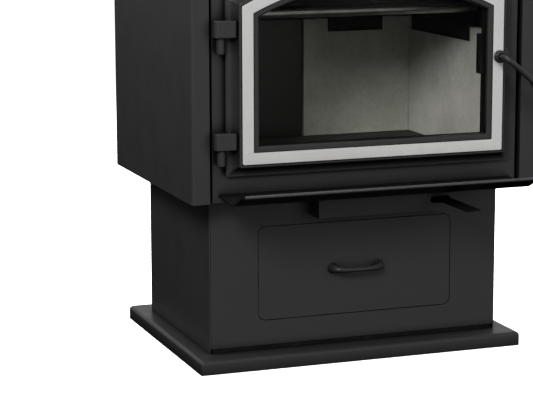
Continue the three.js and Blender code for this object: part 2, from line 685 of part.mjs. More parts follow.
// Each hinge is a block on the door that turns on a pin standing on a post welded to the front plate.
function makeHinges() {
  const b = HINGE_BLOCK;
  const p = HINGE_POST;
  const doorShape = skin(
    [[OFFSET.skirt + CLEARANCE, DOOR.back + 1], ...covePoints(CLEARANCE, 6)].map(([offset, y]) =>
      archPoints(offset).map((point) => new THREE.Vector3(point.x, y, point.y)),
    ),
    false,
  );
  for (const [place, low] of Object.entries(HINGE.heights)) {
    const high = low + HINGE.blockHeight;
    const r = b.cornerRadius;
    const plan = new THREE.Shape();
    plan.moveTo(b.right, b.front);
    plan.lineTo(b.right, b.back);
    plan.absarc(b.left + r, b.back - r, r, Math.PI / 2, Math.PI);
    plan.absarc(b.left + r, b.front + r, r, Math.PI, Math.PI * 1.5);
    plan.closePath();
    const bore = uprightRod(b.bore, HINGE.x, HINGE.y, low - 1, low + p.pinRise + 2, 16);
    addPart("hinge_block_" + place, cut(extrudeUp(plan, low, high), doorShape, bore), castIron);

    const top = low - CLEARANCE;
    const webBack = FRONT_PLATE.face - CLEARANCE;
    const post = join(
      uprightRod(p.radius, HINGE.x, HINGE.y, top - p.height, top, 20),
      uprightRod(p.pinRadius, HINGE.x, HINGE.y, top - 1, low + p.pinRise, 16),
      box(HINGE.x - p.webWidth / 2, HINGE.x + p.webWidth / 2, HINGE.y, webBack, top - p.height, top),
    );
    addPart("hinge_post_" + place, post, castIron);
  }
}

// ---- Latch and handle ----

function makeLatch() {
  const { x, z, radius, inner, boreRadius } = SPINDLE;
  const h = LATCH_HOUSING;
  const housing = cut(
    box(h.left, h.right, DOOR.inner + 3.9, FRONT_PLATE.face - 1.7, z - h.below, z + h.above),
    levelRod(boreRadius, x, z, -300, -260, 20),
  );
  addPart("latch_housing", housing, darkSteel);

  // The bent bar is the spindle through the door and the arm down to the grip.
  const turn = THREE.MathUtils.degToRad(HANDLE.angle);
  const along = [Math.cos(turn), Math.sin(turn)];
  const armPoint = (distance) => [x + along[0] * distance, HANDLE.reach, z + along[1] * distance];
  const armEnd = HANDLE.armLength + HANDLE.gripLength - 8;
  const path = [
    [x, inner, z], [x, -285, z], [x, -310, z], [x, HANDLE.reach + HANDLE.bend, z],
    [x + along[0] * 5, HANDLE.reach + 5, z + along[1] * 5],
    armPoint(HANDLE.bend), armPoint(45), armPoint(90), armPoint(135), armPoint(armEnd),
  ];
  addPart("handle_rod", bar(path, radius, 32, 12), castIron);

  const ring = new THREE.Shape().absarc(x, z, 12.5, 0, Math.PI * 2);
  ring.holes.push(new THREE.Path().absarc(x, z, radius + 0.4, 0, Math.PI * 2));
  addPart("handle_collar", extrudeBack(ring, -316, DOOR.front - 0.9, 12), castIron);

  // The grip is turned about its own axis and bored for the bar.
  const g = HANDLE.gripRadius;
  const length = HANDLE.gripLength;
  const bore = radius + 0.4;
  const profile = [
    [bore, 0], [g * 0.75, 0], [g * 0.92, 4], [g, 14], [g * 1.02, length * 0.5], [g, length - 16],
    [g * 0.9, length - 5], [g * 0.6, length], [0, length], [0, length - 7.5], [bore, length - 7.5], [bore, 0],
  ].map(([r, d]) => new THREE.Vector2(r, d));
  const grip = new THREE.LatheGeometry(profile, ROUND_SIDES);
  grip.rotateZ(turn - Math.PI / 2).rotateX(Math.PI / 2);
  grip.translate(...armPoint(HANDLE.armLength));
  addPart("handle_grip", grip, blackGrip);

  // The cam's nose stands beside the keeper; the last turn of the handle draws it behind.
  const nose = roundedRectangle(-CAM.tail, -CAM.halfWidth, CAM.length, CAM.halfWidth, 4);
  const cam = cut(
    join(
      extrudeBack(nose, CAM.front, CAM.front + CAM.thickness),
      levelRod(CAM.hubRadius, 0, 0, CAM.front, CAM.front + CAM.thickness),
    ),
    levelRod(radius + 0.3, 0, 0, CAM.front - 1, CAM.front + CAM.thickness + 1, 20),
  );
  cam.rotateY(-THREE.MathUtils.degToRad(CAM.angle)).translate(x, 0, z);
  addPart("latch_cam", cam, bareSteel);
}

// ---- Ash lip and air control ----

function makeAshLip() {
  // The tray falls a little, then sweeps up to a rolled front edge.
  const root = FRONT_PLATE.face - CLEARANCE;
  const line = new THREE.CatmullRomCurve3(
    [[root, 367.7], [-310, 364.5], [-346, 361.6], [-362, 364.5], [-385, 376], [-408, 386], [-431, 390.2]]
      .map(([y, z]) => new THREE.Vector3(0, y, z)),
    false,
    "centripetal",
  );
  const steps = 16;
  const upper = [];
  const lower = [];
  for (let i = 0; i <= steps; i += 1) {
    const at = line.getPoint(i / steps);
    const along = line.getTangent(i / steps);
    const half = LIP.thickness / 2;
    upper.push([at.y + along.z * half, at.z - along.y * half]);
    lower.push([at.y - along.z * half, at.z + along.y * half]);
  }
  const sheet = extrudeAcross(polygon([...upper, ...lower.reverse()]), -LIP.halfWidth, LIP.halfWidth);
  const roll = new THREE.Shape().absarc(-431, 390.2, LIP.rollRadius, 0, Math.PI * 2);
  addPart("ash_lip", join(sheet, extrudeAcross(roll, -LIP.halfWidth, LIP.halfWidth, 10)), paint);
}

function makeAirControl() {
  const a = AIR_BOX;
  const back = PEDESTAL.front - CLEARANCE;
  const slot = roundedRectangle(
    AIR_SLOT.x - AIR_SLOT.halfLength, AIR_SLOT.z - AIR_SLOT.halfHeight,
    AIR_SLOT.x + AIR_SLOT.halfLength, AIR_SLOT.z + AIR_SLOT.halfHeight, AIR_SLOT.halfHeight - 0.5,
  );
  const shroud = cut(
    box(a.left, a.right, a.front, back, a.bottom, a.top),
    box(a.left + a.wall, a.right - a.wall, a.front + a.wall, back + 1, a.bottom + a.wall, a.top - a.wall),
    extrudeBack(slot, a.front - 1, a.front + a.wall + 1),
  );
  addPart("air_box", shroud, paint);

  // The lever slides straight in and out and carries the shutter inside its channel.
  const half = AIR_LEVER.width / 2;
  const { front, back: tail, bottom, thickness, nose } = AIR_LEVER;
  const plan = roundedRectangle(AIR_SLOT.x - half, front, AIR_SLOT.x + half, tail, nose);
  addPart("air_lever", extrudeUp(plan, bottom, bottom + thickness, 3), paint);

  const shutterLow = bottom + thickness + CLEARANCE;
  const shutter = box(
    AIR_SLOT.x - SHUTTER.halfWidth, AIR_SLOT.x + SHUTTER.halfWidth,
    tail - SHUTTER.length, tail, shutterLow, shutterLow + SHUTTER.thickness,
  );
  addPart("air_shutter", shutter, bareSteel);

  const channelFront = PEDESTAL.front + PEDESTAL.wall + CLEARANCE;
  const channelTop = PEDESTAL.top - 4 - 2 * CLEARANCE;
  const { halfWidth, back: channelBack, wall, below } = AIR_CHANNEL;
  const [left, right, low] = [AIR_SLOT.x - halfWidth, AIR_SLOT.x + halfWidth, bottom - below];
  const channel = cut(
    box(left, right, channelFront, channelBack, low, channelTop),
    box(left + wall, right - wall, channelFront - 1, channelBack - wall, low + wall, channelTop - wall),
  );
  addPart("air_channel", channel, darkSteel);
}

makeBase();
makePedestal();
makeDrawer();
makeCasing();
makeFirebox();
makeDoor();
makeAshLip();
makeAirControl();

export default stove;
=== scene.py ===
"""The looks of a wood burning stove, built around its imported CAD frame.

Metres, +Z up, the front faces -Y.
"""

import json
import math

import bmesh
import bpy
from mathutils import Matrix, Vector


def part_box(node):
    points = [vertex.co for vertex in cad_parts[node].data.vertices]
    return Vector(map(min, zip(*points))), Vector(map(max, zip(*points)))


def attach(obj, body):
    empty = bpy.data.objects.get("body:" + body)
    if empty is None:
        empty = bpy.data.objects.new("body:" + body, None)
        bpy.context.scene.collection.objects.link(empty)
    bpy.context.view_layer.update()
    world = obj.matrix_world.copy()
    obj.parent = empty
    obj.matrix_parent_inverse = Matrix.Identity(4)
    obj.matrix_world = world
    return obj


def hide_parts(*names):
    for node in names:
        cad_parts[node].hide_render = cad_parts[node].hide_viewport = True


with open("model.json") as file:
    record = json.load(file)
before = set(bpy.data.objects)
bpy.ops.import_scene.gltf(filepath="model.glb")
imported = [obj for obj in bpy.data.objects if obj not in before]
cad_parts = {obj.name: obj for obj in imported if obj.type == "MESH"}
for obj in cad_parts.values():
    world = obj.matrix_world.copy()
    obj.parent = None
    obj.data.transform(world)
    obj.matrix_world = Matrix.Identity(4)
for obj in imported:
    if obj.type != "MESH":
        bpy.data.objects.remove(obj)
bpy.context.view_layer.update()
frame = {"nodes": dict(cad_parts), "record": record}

# ---- Camera ----

CAMERA_PLACE = (-1.5226, -3.8665, 1.050)
CAMERA_YAW = 19.92  # degrees from +Y towards +X
CAMERA_PITCH = 10.33  # degrees below level
CAMERA_ROLL = -0.15  # degrees
CAMERA_LENS = 131.3  # mm, on a sensor 36 mm wide

# ---- Door outline: every outline is the window's, moved outwards by an offset ----

ARCH_RADIUS = 0.577
TRIM_INNER = 0.012
TRIM_OUTER = 0.0355
RIM = 0.0415
SKIRT = 0.061
SEAL = 0.048
TRIM_LOW, TRIM_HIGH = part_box("door_trim")
DOOR_LOW, DOOR_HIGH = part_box("door_frame")
GLASS_LOW, GLASS_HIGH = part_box("door_glass")
WINDOW_HALF = TRIM_HIGH.x - TRIM_OUTER
WINDOW_BOTTOM = TRIM_LOW.z + TRIM_OUTER
ARCH_CENTRE = TRIM_HIGH.z - TRIM_OUTER - ARCH_RADIUS

# ---- Handle's spindle ----

SPINDLE_X = 0.275
SPINDLE_Z = 0.625
BOSS_RADIUS = 0.0225
COLLAR_RADIUS = 0.0125
ROD_RADIUS = 0.0061

# ---- Painted shade on the paints: darker in sheltered corners and on faces that look down ----

PAINTED_SHADE_REACH = 0.035  # how near a surface has to be to shade another
PAINTED_SHADE_SHARE = 0.10  # how bright the painted shade is beside unshaded paint


# ---- Materials ----

class Paintbox:
    """A new material with its node tree, and the few texture set-ups that the finishes share."""

    def __init__(self, name):
        self.material = bpy.data.materials.new(name)
        self.material.use_nodes = True
        self.tree = self.material.node_tree
        self.shader = self.tree.nodes["Principled BSDF"]
        self.place = self.tree.nodes.new("ShaderNodeTexCoord").outputs["Object"]

    def node(self, kind, **inputs):
        made = self.tree.nodes.new(kind)
        for name, value in inputs.items():
            self.put(made.inputs[name.replace("_", " ")], value)
        return made

    def put(self, socket, value):
        if isinstance(value, bpy.types.NodeSocket):
            self.tree.links.new(value, socket)
        else:
            socket.default_value = value

    def set(self, **inputs):
        for name, value in inputs.items():
            self.put(self.shader.inputs[name.replace("_", " ")], value)

    def stretched(self, scale):
        mapping = self.node("ShaderNodeMapping", Vector=self.place)
        mapping.inputs["Scale"].default_value = scale
        return mapping.outputs["Vector"]

    def noise(self, scale, detail=3.0, vector=None, roughness=0.55):
        texture = self.node("ShaderNodeTexNoise", Vector=vector or self.place)
        texture.inputs["Scale"].default_value = scale
        texture.inputs["Detail"].default_value = detail
        texture.inputs["Roughness"].default_value = roughness
        return texture.outputs["Fac"]

    def cells(self, scale):
        texture = self.node("ShaderNodeTexVoronoi", Vector=self.place)
        texture.inputs["Scale"].default_value = scale
        return texture.outputs["Distance"]

    def between(self, factor, low, high, start=0.3, end=0.7):
        """A number that runs from low to high as factor runs from start to end."""
        made = self.node("ShaderNodeMapRange", Value=factor)
        made.inputs["From Min"].default_value = start
        made.inputs["From Max"].default_value = end
        made.inputs["To Min"].default_value = low
        made.inputs["To Max"].default_value = high
        return made.outputs["Result"]

    def ramp(self, factor, *stops):
        made = self.node("ShaderNodeValToRGB", Fac=factor)
        elements = made.color_ramp.elements
        while len(elements) < len(stops):
            elements.new(0.5)
        for element, (position, color) in zip(elements, stops):
            element.position = position
            element.color = (*color, 1.0)
        return made.outputs["Color"]

    def bump(self, *layers):
        """Layers of (height, strength, depth in metres), each over the one before."""
        normal = None
        for height, strength, depth in layers:
            made = self.node("ShaderNodeBump", Height=height)
            made.inputs["Strength"].default_value = strength
            made.inputs["Distance"].default_value = depth
            if normal:
                self.put(made.inputs["Normal"], normal)
            normal = made.outputs["Normal"]
        self.put(self.shader.inputs["Normal"], normal)


def grey(level, warm=0.0):
    return (level * (1 + warm), level, level * (1 - warm))


def painted(name, level, gloss, specular, grain_size, grain):
    """Satin heat-proof paint: fine pigment grain, faint cloudiness and an uneven sheen. Painted shade darkens
    it in sheltered corners and on faces that look down."""
    box = Paintbox(name)
    cloud = box.noise(9.0, 4.0)
    speckle = box.noise(grain_size, 2.0)
    tone = box.node("ShaderNodeMath", Value=cloud)
    tone.operation = "ADD"
    box.put(tone.inputs[1], speckle)
    color = box.ramp(tone.outputs[0], (0.3, grey(level * 0.84)), (0.75, grey(level * 1.16)))
    # Painted shade: the colour darkens where ambient occlusion finds near surfaces, and on faces that look
    # down.
    corner_shade_ao = box.node("ShaderNodeAmbientOcclusion")
    corner_shade_ao.samples = 8
    corner_shade_ao.inputs["Distance"].default_value = PAINTED_SHADE_REACH
    facing = box.node("ShaderNodeNewGeometry")
    split = box.node("ShaderNodeSeparateXYZ")
    box.put(split.inputs[0], facing.outputs["Normal"])
    unshaded_share = box.node("ShaderNodeMath")
    unshaded_share.operation = "MULTIPLY"
    box.put(unshaded_share.inputs[0], box.between(corner_shade_ao.outputs["AO"], 0.0, 1.0, 0.40, 0.88))
    box.put(unshaded_share.inputs[1], box.between(split.outputs["Z"], 0.12, 1.0, -0.85, -0.05))
    painted_shade_mix = box.node("ShaderNodeMix")
    painted_shade_mix.data_type = "RGBA"
    box.put(painted_shade_mix.inputs[0], unshaded_share.outputs[0])
    box.put(painted_shade_mix.inputs[6], (*grey(level * PAINTED_SHADE_SHARE), 1.0))
    box.put(painted_shade_mix.inputs[7], color)
    sheen = box.between(box.noise(14.0, 5.0), gloss - 0.05, gloss + 0.06)
    box.set(Base_Color=painted_shade_mix.outputs[2], Roughness=sheen)
    box.shader.inputs["Specular IOR Level"].default_value = specular
    box.bump((box.noise(60.0, 2.0), 0.05, 0.0004), (speckle, grain, 0.00025))
    return box.material


def nickel_plate():
    """Brushed plate: long scratches follow the band, so they run along its first texture axis."""
    box = Paintbox("nickel_plate")
    along = box.node("ShaderNodeUVMap").outputs["UV"]
    mapping = box.node("ShaderNodeMapping", Vector=along)
    mapping.inputs["Scale"].default_value = (5.0, 900.0, 1.0)
    scratches = box.noise(1.0, 2.0, mapping.outputs["Vector"], 0.6)
    cloud = box.noise(22.0, 3.0)
    color = box.ramp(scratches, (0.25, (0.84, 0.83, 0.82)), (0.75, (0.93, 0.925, 0.915)))
    box.set(Base_Color=color, Roughness=box.between(cloud, 0.24, 0.33), Metallic=1.0)
    box.bump((scratches, 0.02, 0.00002))
    return box.material


def bright_steel():
    box = Paintbox("bright_steel")
    drawn = box.noise(3.0, 5.0, box.stretched((400.0, 6.0, 400.0)), 0.65)
    stain = box.noise(30.0, 4.0)
    color = box.ramp(stain, (0.3, (0.30, 0.295, 0.285)), (0.7, (0.46, 0.455, 0.45)))
    box.set(Base_Color=color, Roughness=box.between(drawn, 0.3, 0.48), Metallic=1.0)
    box.bump((drawn, 0.12, 0.0001))
    return box.material


def mill_steel():
    box = Paintbox("mill_steel")
    scale = box.noise(38.0, 6.0, None, 0.65)
    color = box.ramp(scale, (0.3, grey(0.003, 0.03)), (0.5, grey(0.005, 0.02)), (0.72, grey(0.010, 0.05)))
    box.set(Base_Color=color, Roughness=box.between(scale, 0.5, 0.68))
    box.shader.inputs["Specular IOR Level"].default_value = 0.03
    box.bump((scale, 0.12, 0.0005), (box.noise(900.0, 2.0), 0.1, 0.0002))
    return box.material


def refractory(name, dark, light, soot):
    """Cast refractory: pressed fibres, faint cloudy stains and small pits.
    Soot darkens it towards its top."""
    box = Paintbox(name)
    cloud = box.noise(11.0, 6.0, None, 0.62)
    fine = box.noise(160.0, 4.0)
    mixed = box.node("ShaderNodeMath", Value=cloud)
    mixed.operation = "MULTIPLY_ADD"
    box.put(mixed.inputs[1], 0.75)
    box.put(mixed.inputs[2], box.between(fine, 0.0, 0.25, 0.2, 0.8))
    stone = box.ramp(mixed.outputs[0], (0.32, dark), (0.62, light))
    height = box.node("ShaderNodeSeparateXYZ", Vector=box.place).outputs["Z"]
    drift = box.node("ShaderNodeMath", Value=box.noise(16.0, 4.0))
    drift.operation = "MULTIPLY_ADD"
    box.put(drift.inputs[1], 0.10)
    box.put(drift.inputs[2], height)
    smoke = box.between(drift.outputs[0], 0.0, soot, 0.55, 0.74)
    sooty = box.node("ShaderNodeMix")
    sooty.data_type = "RGBA"
    box.put(sooty.inputs[0], smoke)
    box.put(sooty.inputs[6], stone)
    box.put(sooty.inputs[7], (0.05, 0.05, 0.045, 1.0))
    box.set(Base_Color=sooty.outputs[2], Roughness=box.between(fine, 0.86, 0.97))
    box.shader.inputs["Specular IOR Level"].default_value = 0.2
    pits = box.between(box.cells(120.0), 0.0, 1.0, 0.0, 0.22)
    box.bump((cloud, 0.2, 0.002), (fine, 0.3, 0.0008), (pits, 0.25, 0.0006))
    return box.material


def glass_rope():
    box = Paintbox("glass_rope")
    fibres = box.noise(1400.0, 3.0)
    color = box.ramp(fibres, (0.3, (0.10, 0.097, 0.09)), (0.7, (0.24, 0.235, 0.22)))
    box.set(Base_Color=color, Roughness=0.95)
    box.shader.inputs["Sheen Weight"].default_value = 0.3
    wale = box.noise(520.0, 1.0)
    box.bump((wale, 0.5, 0.0008), (fibres, 0.4, 0.0004))
    return box.material


def ceramic_glass():
    """Clear heat-proof glass: light goes straight through it, and it mirrors more at a glancing angle."""
    box = Paintbox("ceramic_glass")
    box.tree.nodes.remove(box.shader)
    clear = box.node("ShaderNodeBsdfTransparent")
    haze = box.noise(5.0, 3.0)
    box.put(clear.inputs["Color"], box.ramp(haze, (0.2, (0.955, 0.955, 0.94)), (0.8, (0.98, 0.98, 0.97))))
    mirror = box.node("ShaderNodeBsdfGlossy")
    mirror.inputs["Roughness"].default_value = 0.03
    mirror.inputs["Color"].default_value = (0.9, 0.9, 0.9, 1.0)
    facing = box.node("ShaderNodeLayerWeight")
    facing.inputs["Blend"].default_value = 0.5
    steep = box.node("ShaderNodeMath")
    steep.operation = "POWER"
    box.put(steep.inputs[0], facing.outputs["Facing"])
    box.put(steep.inputs[1], 5.0)
    mixed = box.node("ShaderNodeMixShader", Fac=box.between(steep.outputs[0], 0.0015, 0.6, 0.0, 1.0))
    box.put(mixed.inputs[1], clear.outputs[0])
    box.put(mixed.inputs[2], mirror.outputs[0])
    box.put(box.tree.nodes["Material Output"].inputs["Surface"], mixed.outputs[0])
    return box.material


def turned_grip():
    box = Paintbox("turned_grip")
    mottled = box.noise(45.0, 5.0)
    rings = box.noise(240.0, 2.0)
    color = box.ramp(mottled, (0.3, grey(0.0075)), (0.7, grey(0.013)))
    box.set(Base_Color=color, Roughness=box.between(rings, 0.34, 0.46))
    box.bump((rings, 0.08, 0.0003))
    return box.material


PAINT = painted("charcoal_paint", 0.0190, 0.37, 0.17, 1100.0, 0.14)
# The lip is one painted part: its sheet gets a darker copy of the paint as painted shade, its roll a lighter
# one as a painted highlight.
SHADED_LIP_PAINT = painted("lip_paint_painted_shade", 0.0050, 0.40, 0.08, 1100.0, 0.14)
HIGHLIT_ROLL_PAINT = painted("roll_paint_painted_highlight", 0.0300, 0.36, 0.20, 1100.0, 0.14)
CASTING = painted("painted_casting", 0.0175, 0.34, 0.19, 620.0, 0.26)
NICKEL = nickel_plate()
STEEL = bright_steel()
MILL = mill_steel()
BRICK = refractory("refractory", (0.37, 0.37, 0.342), (0.53, 0.53, 0.50), 0.45)
BACK_BRICK = refractory("refractory_back", (0.25, 0.256, 0.227), (0.35, 0.356, 0.32), 0.35)
FLOOR_BRICK = refractory("refractory_floor", (0.022, 0.022, 0.020), (0.048, 0.047, 0.044), 0.3)
ROPE = glass_rope()
GLASS = ceramic_glass()
GRIP = turned_grip()

FINISHES = {
    "charcoal_paint": PAINT,
    "cast_iron": CASTING,
    "dark_steel": MILL,
    "nickel_trim": NICKEL,
    "bare_steel": STEEL,
    "refractory": BRICK,
    "rope_seal": ROPE,
    "ceramic_glass": GLASS,
    "black_grip": GRIP,
}
SLOT_OF = {part["node"]: part["material_slot"] for part in frame["record"]["subparts"]}
BODY_OF = {node: body for body, nodes in frame["record"]["behaviour"]["bodies"].items() for node in nodes}


def paint_node(node, material):
    slots = frame["nodes"][node].data.materials
    slots.clear()
    slots.append(material)


# ---- Meshes ----

def as_object(name, mesh, material, crease=40.0, bevel=0.0, segments=3):
    """Cleans a mesh, shades it smooth and makes an object of it. A bevel rounds its sharp edges."""
    work = bmesh.new()
    work.from_mesh(mesh)
    bmesh.ops.remove_doubles(work, verts=work.verts, dist=1e-6)
    bmesh.ops.recalc_face_normals(work, faces=work.faces)
    work.to_mesh(mesh)
    work.free()
    mesh.materials.clear()
    mesh.materials.append(material)
    mesh.shade_smooth()
    made = bpy.data.objects.new(name, mesh)
    bpy.context.scene.collection.objects.link(made)
    if bevel:
        rounding = made.modifiers.new("rounding", "BEVEL")
        rounding.width = bevel
        rounding.segments = segments
        rounding.limit_method = "ANGLE"
        rounding.angle_limit = math.radians(crease)
        rounding.use_clamp_overlap = True
    else:
        mesh.set_sharp_from_angle(angle=math.radians(crease))
    made.modifiers.new("flat_faces", "WEIGHTED_NORMAL").keep_sharp = True
    return made


def stand_for(piece, *nodes):
    """A new piece rides on its nodes' body and is shown in their place; the nodes are hidden."""
    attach(piece, BODY_OF[nodes[0]])
    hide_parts(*nodes)
    return piece


def add_to(piece, node):
    """A new piece that the CAD model has no node for rides with a node's body."""
    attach(piece, BODY_OF[node])
    return piece


def mesh_of(name, points, faces):
    mesh = bpy.data.meshes.new(name)
    mesh.from_pydata([tuple(p) for p in points], [], faces)
    return mesh


def skin(name, loops, ring=False, capped=True):
    """A mesh over a row of closed loops with the same number of points each."""
    size = len(loops[0])
    faces = []
    count = len(loops) if ring else len(loops) - 1
    for i in range(count):
        here = i * size
        there = (i + 1) % len(loops) * size
        for j in range(size):
            k = (j + 1) % size
            faces.append((here + j, here + k, there + k, there + j))
    if capped and not ring:
        end = (len(loops) - 1) * size
        faces.append(tuple(reversed(range(size))))
        faces.append(tuple(end + j for j in range(size)))
    return mesh_of(name, [p for loop in loops for p in loop], faces)


def prism(name, outline, lift):
    """A closed outline of points, moved by lift to make the far end."""
    return skin(name, [outline, [Vector(p) + Vector(lift) for p in outline]])


def block(name, low, high):
    (x0, y0, z0), (x1, y1, z1) = low, high
    outline = [Vector((x0, y0, z0)), Vector((x1, y0, z0)), Vector((x1, y1, z0)), Vector((x0, y1, z0))]
    return prism(name, outline, (0, 0, z1 - z0))


def arc(centre, radius, start, end, steps):
    """Points (u, v) along an arc, its angles in degrees."""
    turns = [math.radians(start + (end - start) * i / steps) for i in range(steps + 1)]
    return [(centre[0] + radius * math.cos(t), centre[1] + radius * math.sin(t)) for t in turns]


def rounded(low, high, radius, steps=6):
    """A rectangle's outline with rounded corners, as (u, v) points."""
    corners = [
        (high[0], low[1], -90), (high[0], high[1], 0),
        (low[0], high[1], 90), (low[0], low[1], 180),
    ]
    points = []
    for u, v, start in corners:
        centre = (u - radius if u == high[0] else u + radius, v - radius if v == high[1] else v + radius)
        points += arc(centre, radius, start, start + 90, steps)
    return points


def turned(name, profile, base, axis, sides=48):
    """A lathe turned piece: a profile of (radius, distance along axis) from base. Radius 0 closes an end."""
    direction = Vector(axis).normalized()
    across = direction.orthogonal().normalized()
    beside = direction.cross(across)
    loops = []
    for radius, distance in profile:
        middle = Vector(base) + direction * distance
        size = max(radius, 1e-5)
        turns = [2 * math.pi * i / sides for i in range(sides)]
        loops.append([middle + across * math.cos(t) * size + beside * math.sin(t) * size for t in turns])
    return skin(name, loops)


def smooth_path(points, steps):
    """A centripetal spline through the points, at even steps of its own parameter."""
    ends = [2 * points[0] - points[1], *points, 2 * points[-1] - points[-2]]
    made = []
    for i in range(1, len(ends) - 2):
        p0, p1, p2, p3 = ends[i - 1:i + 3]
        t = [0.0]
        for a, b in ((p0, p1), (p1, p2), (p2, p3)):
            t.append(t[-1] + max((b - a).length, 1e-9) ** 0.5)
        for j in range(steps):
            at = t[1] + (t[2] - t[1]) * j / steps
            row = [p0, p1, p2, p3]
            for level in (1, 2, 3):
                row = [
                    row[k] * ((t[k + level] - at) / (t[k + level] - t[k]))
                    + row[k + 1] * ((at - t[k]) / (t[k + level] - t[k]))
                    for k in range(len(row) - 1)
                ]
            made.append(row[0])
    made.append(points[-1])
    return made


def tube(name, path, radius, sides=20):
    """A round bar along a path. radius is a number, or a function of the share of the way along."""
    size = radius if callable(radius) else (lambda share: radius)
    loops = []
    tangent = (path[1] - path[0]).normalized()
    across = tangent.orthogonal().normalized()
    for i, point in enumerate(path):
        ahead = path[min(i + 1, len(path) - 1)]
        behind = path[max(i - 1, 0)]
        following = (ahead - behind).normalized()
        across = (tangent.rotation_difference(following) @ across).normalized()
        tangent = following
        beside = tangent.cross(across)
        r = size(i / (len(path) - 1))
        turns = [2 * math.pi * j / sides for j in range(sides)]
        loops.append([point + across * math.cos(t) * r + beside * math.sin(t) * r for t in turns])
    return skin(name, loops)


def carve(piece, cutter):
    """Cuts a piece by a cutter, which is then deleted."""
    cutting = piece.modifiers.new("cut", "BOOLEAN")
    cutting.object = cutter
    cutting.operation = "DIFFERENCE"
    cutting.solver = "EXACT"
    with bpy.context.temp_override(object=piece, active_object=piece):
        bpy.ops.object.modifier_apply(modifier="cut")
    bpy.data.objects.remove(cutter)


def refined(node, bevel, material=None, crease=40.0, segments=2):
    """The CAD solid itself, merged into whole faces and with its edges rounded."""
    mesh = bpy.data.meshes.new(node + "_surface")
    work = bmesh.new()
    work.from_mesh(frame["nodes"][node].data)
    bmesh.ops.remove_doubles(work, verts=work.verts, dist=2e-6)
    bmesh.ops.dissolve_limit(work, angle_limit=math.radians(0.5), verts=work.verts, edges=work.edges)
    work.to_mesh(mesh)
    work.free()
    finish = material or FINISHES[SLOT_OF[node]]
    piece = as_object(node + "_surface", mesh, finish, crease, bevel, segments)
    return stand_for(piece, node)


# ---- Door outline ----

def arch(offset, y, corner_steps=6, arch_steps=96):
    """The window's outline moved outwards by an offset, at y, anticlockwise seen from the front."""
    half = WINDOW_HALF + offset
    bottom = WINDOW_BOTTOM - offset
    radius = ARCH_RADIUS + offset
    corner = 0.0015 + offset * 0.05
    points = arc((-half + corner, bottom + corner), corner, 180, 270, corner_steps)
    points += arc((half - corner, bottom + corner), corner, 270, 360, corner_steps)
    wide = math.degrees(math.asin(half / radius))
    points += arc((0.0, ARCH_CENTRE), radius, 90 - wide, 90 + wide, arch_steps)
    return [Vector((x, y, z)) for x, z in points]


def arch_band(name, section):
    """A ring whose section, a closed list of (offset, y), follows the window's outline. It has a texture
    map in metres: along the band, then across it."""
    mesh = skin(name, [arch(offset, y) for offset, y in section], ring=True)
    layer = mesh.uv_layers.new(name="UVMap")
    size = len(arch(0, 0))
    outline = arch(section[0][0], 0)
    lengths = [0.0]
    for here, there in zip(outline, outline[1:] + outline[:1]):
        lengths.append(lengths[-1] + (there - here).length)
    across = [0.0]
    for a, b in zip(section, section[1:] + section[:1]):
        across.append(across[-1] + math.hypot(b[0] - a[0], b[1] - a[1]))
    for face in mesh.polygons:
        row, column = divmod(min(face.vertices), size)
        for corner in face.loop_indices:
            i, j = divmod(mesh.loops[corner].vertex_index, size)
            u = lengths[j] if abs(j - column) < size / 2 or j else lengths[size]
            layer.data[corner].uv = (u, across[i])
    return mesh


# ---- Door ----

def make_door_frame():
    front, back = DOOR_LOW.y, DOOR_HIGH.y
    skirt_front = back - 0.008
    seat = front + 0.0033
    inner = GLASS_HIGH.y + 0.0028
    rest = GLASS_LOW.y - 0.0003
    cove_steps = 18
    cove = []
    for i in range(cove_steps + 1):
        turn = math.pi / 2 * i / cove_steps
        y = front + 0.002 + (skirt_front - front - 0.002) * math.cos(turn)
        cove.append((SKIRT - (SKIRT - RIM) * math.sin(turn), y))
    rim_round = arc((RIM - 0.002, front + 0.002), 0.002, 0, -90, 5)
    bead_round = arc((0.0042, front + 0.0042), 0.0042, -90, -180, 6)
    section = [
        (SKIRT - 0.005, back),
        (SKIRT - 0.005, skirt_front + 0.003),
        (SKIRT, skirt_front + 0.003),
        *cove[:-1],
        *rim_round,
        (TRIM_OUTER + 0.0017, front),
        (TRIM_OUTER + 0.0014, seat),
        (TRIM_INNER - 0.0012, seat),
        (TRIM_INNER - 0.0015, front),
        *bead_round,
        (0.0, rest),
        (0.011, rest),
        (0.011, inner),
        (SEAL - 0.009, inner),
        (SEAL - 0.009, back),
        (SEAL - 0.005, back),
        (SEAL - 0.005, back - 0.006),
        (SEAL + 0.005, back - 0.006),
        (SEAL + 0.005, back),
    ]
    piece = as_object("door_casting", arch_band("door_casting", section), CASTING, 32.0)
    stand_for(piece, "door_frame")

    # The boss round the spindle stands in the hollow beside the rim.
    left = WINDOW_HALF + RIM - 0.003
    wide = math.degrees(math.acos((left - SPINDLE_X) / BOSS_RADIUS))
    outline = [Vector((x, front + 0.0001, z))
               for x, z in arc((SPINDLE_X, SPINDLE_Z), BOSS_RADIUS, -wide, wide, 24)]
    mesh = prism("door_boss", outline, (0, inner - front, 0))
    add_to(as_object("door_boss", mesh, CASTING, 40.0, 0.0022, 4), "door_frame")


